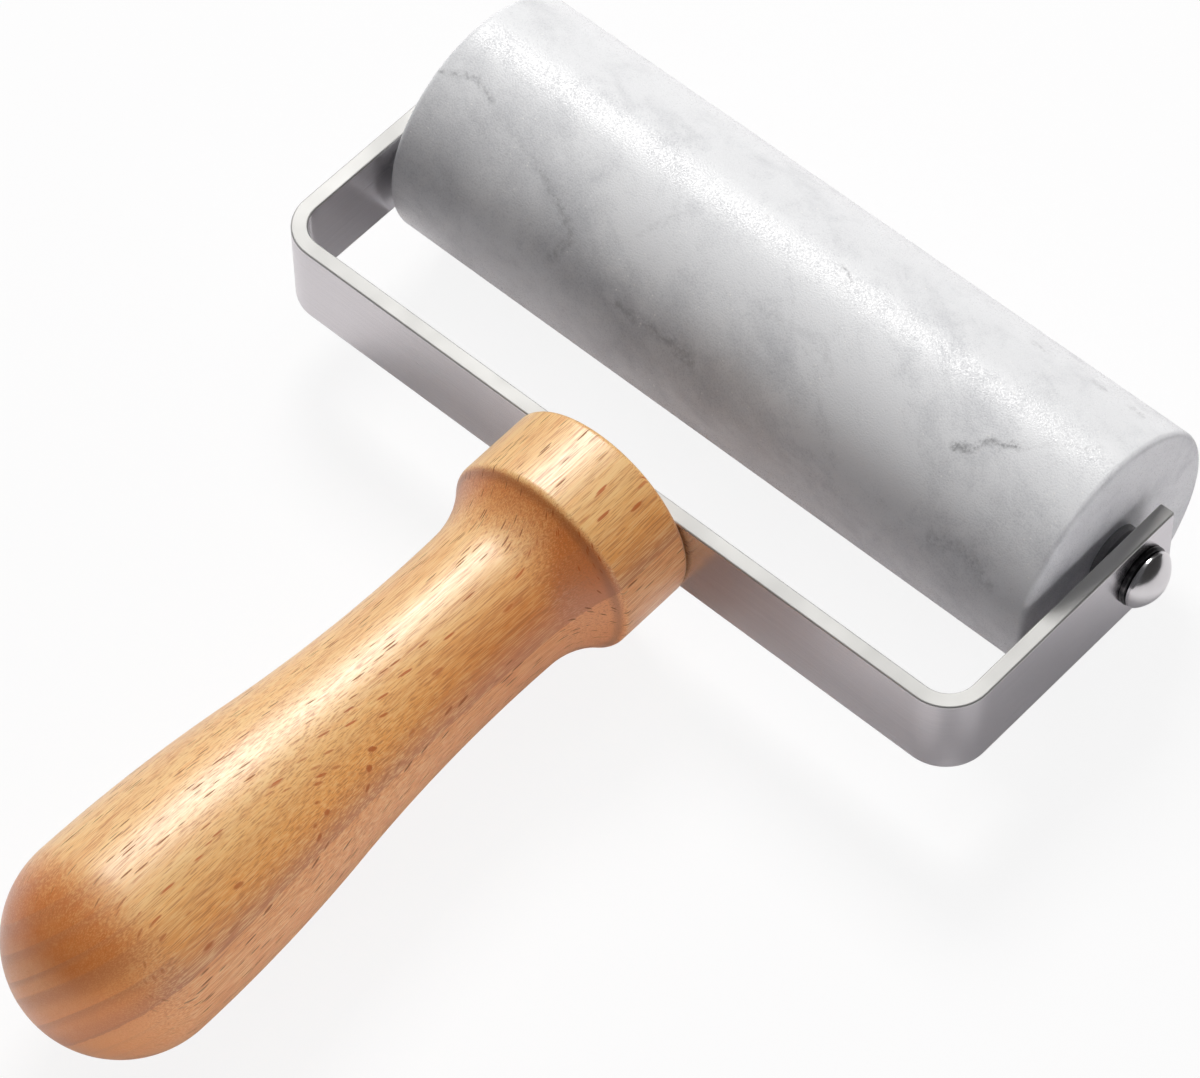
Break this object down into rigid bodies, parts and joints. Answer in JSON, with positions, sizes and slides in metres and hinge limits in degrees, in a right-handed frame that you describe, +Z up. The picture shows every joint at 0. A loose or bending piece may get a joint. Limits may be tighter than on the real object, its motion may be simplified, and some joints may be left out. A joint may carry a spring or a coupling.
{
  "type": "marble rolling pin",
  "caption": "One-handed rolling pin: a marble cylinder that spins on an axle in a bent steel fork, with a turned wooden handle for rolling out dough.",
  "frame": {"origin": "under the middle of the whole tool, on the surface that the roller lies on", "axes": "+X along the roller's axle, +Y from the handle's butt to the roller, +Z up"},
  "size_m": [0.137, 0.1736, 0.04],
  "materials": {
    "marble": "satin polished grey-white marble with cloudy grey veins",
    "nylon": "dark moulded nylon",
    "strip_steel": "satin stainless strip",
    "plain_steel": "plain bright steel",
    "polished_steel": "polished steel",
    "beech": "lacquered turned beech",
    "brass": "plain brass"
  },
  "bodies": {
    "fork": {"frame": "strip_steel", "handle": "beech", "handle_insert": "brass", "handle_screw": "plain_steel", "screw_washer": "plain_steel", "axle": "plain_steel", "left_cap": "polished_steel", "right_cap": "polished_steel", "left_cap_washer": "polished_steel", "right_cap_washer": "polished_steel"},
    "roller": {"roller": "marble", "left_bush": "nylon", "right_bush": "nylon"}
  },
  "joints": [
    {"name": "roller_spin", "type": "hinge", "parent": "fork", "child": "roller", "pos_m": [0, 0.06675, 0.02], "axis": [1, 0, 0], "continuous": true}
  ]
}
